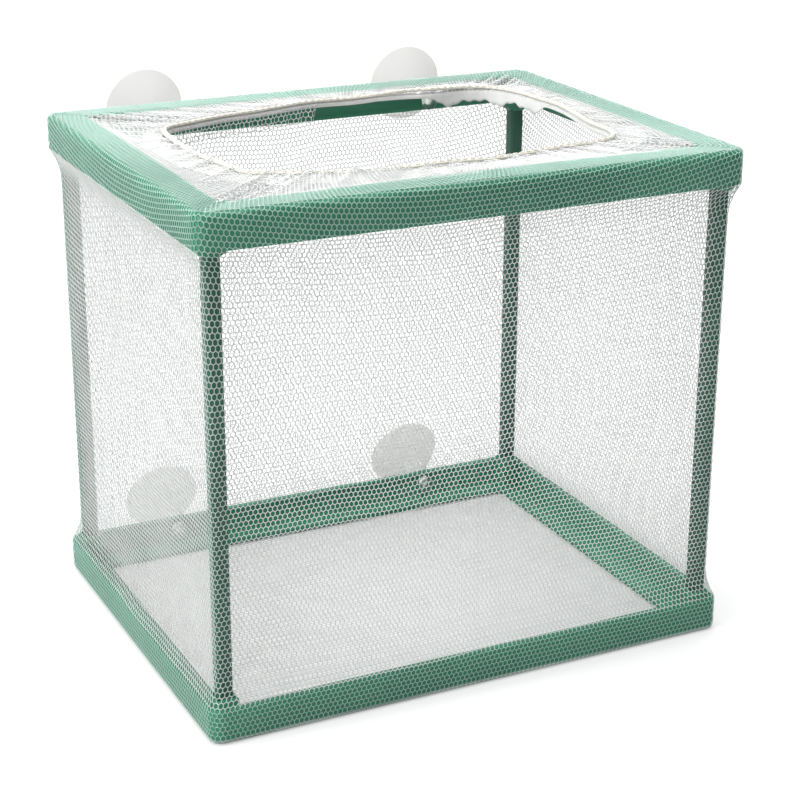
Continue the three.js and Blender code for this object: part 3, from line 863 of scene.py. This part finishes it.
def finish(name, low_colour, high_colour, roughness, fine, broad, bump, **sockets):
    """A material whose colour wanders between two tones and whose roughness and bump come from the
    surface grain. Sockets that are the same all over are set on the shader."""
    material = bpy.data.materials.new(name)
    material.use_nodes = True
    tree = material.node_tree
    shader = tree.nodes["Principled BSDF"]
    texture = tree.nodes.new("ShaderNodeGroup")
    texture.node_tree = grain
    texture.inputs["Fine Scale"].default_value = fine
    texture.inputs["Broad Scale"].default_value = broad
    tones = tree.nodes.new("ShaderNodeValToRGB")
    for stop, place, tone in zip(tones.color_ramp.elements, (0.35, 0.65), (low_colour, high_colour)):
        stop.position = place
        stop.color = tone
    tree.links.new(texture.outputs["Mottle"], tones.inputs["Fac"])
    tree.links.new(tones.outputs["Color"], shader.inputs["Base Color"])
    polish = ranged(tree, texture.outputs["Height"], 0.3, 0.9, roughness - 0.06, roughness + 0.08)
    tree.links.new(polish, shader.inputs["Roughness"])
    relief = tree.nodes.new("ShaderNodeBump")
    relief.inputs["Strength"].default_value = 0.5
    relief.inputs["Distance"].default_value = bump * MM
    tree.links.new(texture.outputs["Height"], relief.inputs["Height"])
    tree.links.new(relief.outputs["Normal"], shader.inputs["Normal"])
    for label, value in sockets.items():
        shader.inputs[label.replace("_", " ")].default_value = value
    return material


# Share of the painted green glow that threads get where they lie over a post
POST_GLOW_SHARE = 0.35


def band_mask(group, distance, reach, softness):
    """One where a distance is above minus reach, with a soft step."""
    return ranged(group, distance, -(reach + softness) * MM, -(reach - softness) * MM)


def painted_glow_mask_group():
    """Mask of the net that lies on the frame, where a green glow is painted into the threads: at the
    height of the top or bottom frame's wall, or, less strongly, near enough to a corner to cover a
    post; both only over a flange or outside a wall."""
    group, _, result = shader_group("net_painted_plastic_glow", [], [("Mask", "NodeSocketFloat")])
    place = group.nodes.new("ShaderNodeTexCoord")
    parts = group.nodes.new("ShaderNodeSeparateXYZ")
    group.links.new(place.outputs["Object"], parts.inputs[0])
    beyond = []
    for axis, middle, half in (
        ("X", 0.0, HALF_WIDTH), ("Y", CENTRE_Y, HALF_DEPTH), ("Z", BOX_HEIGHT / 2, BOX_HEIGHT / 2)
    ):
        from_middle = linked_math(group, "SUBTRACT", parts.outputs[axis], middle * MM)
        distance = linked_math(group, "ABSOLUTE", from_middle, 0.0)
        beyond.append(linked_math(group, "SUBTRACT", distance, half * MM))
    beyond_x, beyond_y, beyond_z = beyond
    outside = band_mask(group, linked_math(group, "MAXIMUM", beyond_x, beyond_y), FLANGE_REACH, 0.3)
    band = band_mask(group, beyond_z, WALL_EDGE, 0.3)
    post = band_mask(group, linked_math(group, "MINIMUM", beyond_x, beyond_y), POST_REACH, 0.4)
    held = linked_math(group, "MAXIMUM", band, linked_math(group, "MULTIPLY", post, POST_GLOW_SHARE))
    group.links.new(linked_math(group, "MULTIPLY", outside, held), result.inputs["Mask"])
    return group


painted_glow_mask = painted_glow_mask_group()


def paint_plastic_glow(material, glow_tint):
    """Paints a green glow into a thread's colour where it lies on the green plastic: painted light
    standing in for the plastic's light shining through the thread.
    """
    tree = material.node_tree
    shader = tree.nodes["Principled BSDF"]
    plain = shader.inputs["Base Color"].links[0].from_socket
    mask = tree.nodes.new("ShaderNodeGroup")
    mask.node_tree = painted_glow_mask
    mix = tree.nodes.new("ShaderNodeMix")
    mix.data_type = "RGBA"
    colour_sockets = [socket for socket in mix.inputs if socket.type == "RGBA"]
    tree.links.new(mask.outputs["Mask"], mix.inputs["Factor"])
    tree.links.new(plain, colour_sockets[0])
    colour_sockets[1].default_value = glow_tint
    mixed = next(socket for socket in mix.outputs if socket.type == "RGBA")
    tree.links.new(mixed, shader.inputs["Base Color"])


frame_finish = finish(
    "green_moulded_plastic", colour(49, 121, 95), colour(59, 136, 108), 0.42, 2600, 35, 0.02,
    Specular_IOR_Level=0.45,
)
post_finish = finish(
    "dark_green_post_plastic", colour(42, 90, 74), colour(50, 100, 83), 0.4, 2600, 35, 0.02,
    Specular_IOR_Level=0.45,
)
net_finish = finish(
    "white_polyester_thread", colour(216, 218, 217), colour(225, 227, 226), 0.55, 5200, 90, 0.04,
    Sheen_Weight=0.4, Transmission_Weight=0.25, IOR=1.3,
    Subsurface_Weight=0.9, Subsurface_Radius=(1, 1, 1), Subsurface_Scale=0.0003,
)
# Painted light: threads over the frame get a mint tint standing in for the green plastic's light
# shining through them
paint_plastic_glow(net_finish, colour(164, 202, 188))
hem_finish = finish(
    "cream_folded_edging", colour(200, 196, 185), colour(209, 206, 196), 0.75, 3400, 240, 0.08,
    Sheen_Weight=0.3,
)
stitch_finish = finish(
    "cream_stitching_thread", colour(200, 196, 185), colour(209, 206, 196), 0.6, 6000, 300, 0.05,
    Sheen_Weight=0.2,
)
casing_finish = finish(
    "white_gathered_casing", colour(202, 203, 202), colour(211, 211, 209), 0.7, 3800, 260, 0.12,
    Sheen_Weight=0.3,
)
elastic_finish = finish(
    "white_covered_elastic", colour(226, 224, 214), colour(236, 234, 226), 0.7, 4200, 300, 0.08,
)
cup_finish = finish(
    "milky_soft_pvc", colour(205, 205, 203), colour(211, 211, 209), 0.6, 900, 60, 0.0,
    Transmission_Weight=0.85, IOR=1.03,
)
plug_finish = finish(
    "clear_soft_pvc", colour(226, 230, 227), colour(232, 236, 233), 0.35, 900, 60, 0.0,
    Transmission_Weight=0.95, IOR=1.1,
)


# Pieces

wall_to_net = HALF_DEPTH - NET_MIDDLE - CUP_WALL_MIDDLE
neck_rows = [
    CUP_LOW_HEIGHT + wall_to_net * math.tan(CUP_LOW_TILT),
    CUP_HIGH_HEIGHT + wall_to_net * math.tan(CUP_HIGH_TILT),
]
neck_places = [
    (side * CUP_X, np.interp(height, PROFILE_HEIGHT, PROFILE_UP))
    for height in neck_rows for side in (-1, 1)
]
WHOLE, LEFT_HALF, RIGHT_HALF = (-1, 1), (-1, 0), (0, 1)
side_panels = [
    ("net_front_mesh_left", "net_front", FRONT, 0.4, (), LEFT_HALF),
    ("net_front_mesh_right", "net_front", FRONT, 0.4, (), RIGHT_HALF),
    ("net_right_mesh", "net_right", RIGHT, 1.7, (), WHOLE),
    ("net_back_mesh_right", "net_back", BACK, 2.9, neck_places, LEFT_HALF),
    ("net_back_mesh_left", "net_back", BACK, 2.9, neck_places, RIGHT_HALF),
    ("net_left_mesh", "net_left", LEFT, 4.1, (), WHOLE),
]
for name, node, side, phase, necks, span in side_panels:
    panel = side_net(name, *side, phase, necks, span)
    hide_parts(node)

bottom_panel = bottom_net()
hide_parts("net_bottom")

hem = ring_along_hem(
    "mouth_hem_casing", hem_section(), HEM_STEPS, hem_finish, HEM_RIPPLE
)
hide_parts("mouth_hem")
elastic = ring_along_hem(
    "mouth_elastic_cord", round_section(ELASTIC_RADIUS, 12), HEM_STEPS // 2, elastic_finish
)
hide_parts("mouth_elastic")
stitches = hem_stitches()
facing = mouth_facing()
casing = mouth_casing()

top_panel = top_net("net_top_mesh", False)
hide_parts("net_top")
lining = top_net("net_top_lining", True)

moulding("top_frame_moulding", "top_frame", frame_finish, 0.22)
moulding("bottom_frame_moulding", "bottom_frame", frame_finish, 0.22)
for place in ("front_left", "front_right", "back_left", "back_right"):
    moulding(f"post_{place}_bar", f"post_{place}", post_finish, 0.15)

cup_rows = [("top", CUP_HIGH_HEIGHT, CUP_HIGH_TILT), ("bottom", CUP_LOW_HEIGHT, CUP_LOW_TILT)]
for level, height, tilt in cup_rows:
    for word, side in (("left", -1), ("right", 1)):
        cup = f"cup_{level}_{word}"
        suction_cup(cup, side, height, tilt, cup, f"suction_{cup}")


# Floor, light and camera. The floor's glow grows from GLOW_NEAR to GLOW_FAR between two distances, in
# metres, from the object.

GLOW_START, GLOW_END = 0.5, 1.6
GLOW_NEAR, GLOW_FAR = 0.4, 0.85
SURROUND_LIGHT = 0.52
FLOOR_REACH = 4.0
LAMP_AIM = Vector((0, 0, 0.07))


def floor_material():
    """A pale floor. For the camera a soft glow is added, more of it far from the lamps, so that it
    reads as white where nothing shades it and still shows the box's shadow."""
    material = bpy.data.materials.new("pale_floor")
    material.use_nodes = True
    tree = material.node_tree
    tree.nodes.clear()
    plain = tree.nodes.new("ShaderNodeBsdfDiffuse")
    plain.inputs["Color"].default_value = (0.5, 0.5, 0.5, 1)
    glow = tree.nodes.new("ShaderNodeEmission")
    glow.inputs["Color"].default_value = (1, 1, 1, 1)
    place = tree.nodes.new("ShaderNodeTexCoord")
    away = tree.nodes.new("ShaderNodeVectorMath")
    away.operation = "LENGTH"
    tree.links.new(place.outputs["Object"], away.inputs[0])
    level = ranged(tree, away.outputs["Value"], GLOW_START, GLOW_END, GLOW_NEAR, GLOW_FAR)
    tree.links.new(linked_math(tree, "MULTIPLY", seen_rays(tree), level), glow.inputs["Strength"])
    both = tree.nodes.new("ShaderNodeAddShader")
    out = tree.nodes.new("ShaderNodeOutputMaterial")
    tree.links.new(plain.outputs[0], both.inputs[0])
    tree.links.new(glow.outputs[0], both.inputs[1])
    tree.links.new(both.outputs[0], out.inputs["Surface"])
    return material


def add_floor():
    corners = [(x * FLOOR_REACH, y * FLOOR_REACH, 0) for x, y in ((-1, -1), (1, -1), (1, 1), (-1, 1))]
    mesh = bpy.data.meshes.new("floor")
    mesh.from_pydata(corners, [], [(0, 1, 2, 3)])
    floor = in_scene("floor", mesh)
    floor.data.materials.append(floor_material())


def add_world():
    """An even pale surround that is white to the camera, straight or through clear plastic."""
    world = bpy.data.worlds.new("studio")
    world.use_nodes = True
    tree = world.node_tree
    background = tree.nodes["Background"]
    background.inputs["Color"].default_value = (1, 1, 1, 1)
    strength = ranged(tree, seen_rays(tree), 0, 1, SURROUND_LIGHT, 1.0)
    tree.links.new(strength, background.inputs["Strength"])
    bpy.context.scene.world = world


def add_lamp(name, place, size, power):
    """A square lamp, metres wide and so many watts strong, that looks at the object."""
    lamp = bpy.data.lights.new(name, "AREA")
    lamp.shape = "SQUARE"
    lamp.size = size
    lamp.energy = power
    holder = in_scene(name, lamp)
    holder.location = place
    holder.rotation_euler = (LAMP_AIM - Vector(place)).to_track_quat("-Z", "Y").to_euler()


add_floor()
add_world()
add_lamp("key", (-1.3, -0.15, 0.75), 0.9, 20.0)
add_lamp("back", (0.3, 1.2, 0.7), 1.2, 5.0)
add_lamp("top", (0.0, 0.1, 1.2), 0.9, 16.0)

# The photograph's camera, fitted to the frames' corners and edges
camera_data = bpy.data.cameras.new("camera")
camera_data.sensor_width = 36
camera_data.lens = 88.439
camera = in_scene("camera", camera_data)
camera.location = (-234.403 * MM, (-489.566 + CENTRE_Y) * MM, 267.421 * MM)
camera.rotation_euler = (math.radians(90 - 20.5524), math.radians(-0.1913), math.radians(-26.0227))
bpy.context.scene.camera = camera
bpy.context.scene.view_settings.view_transform = "Standard"
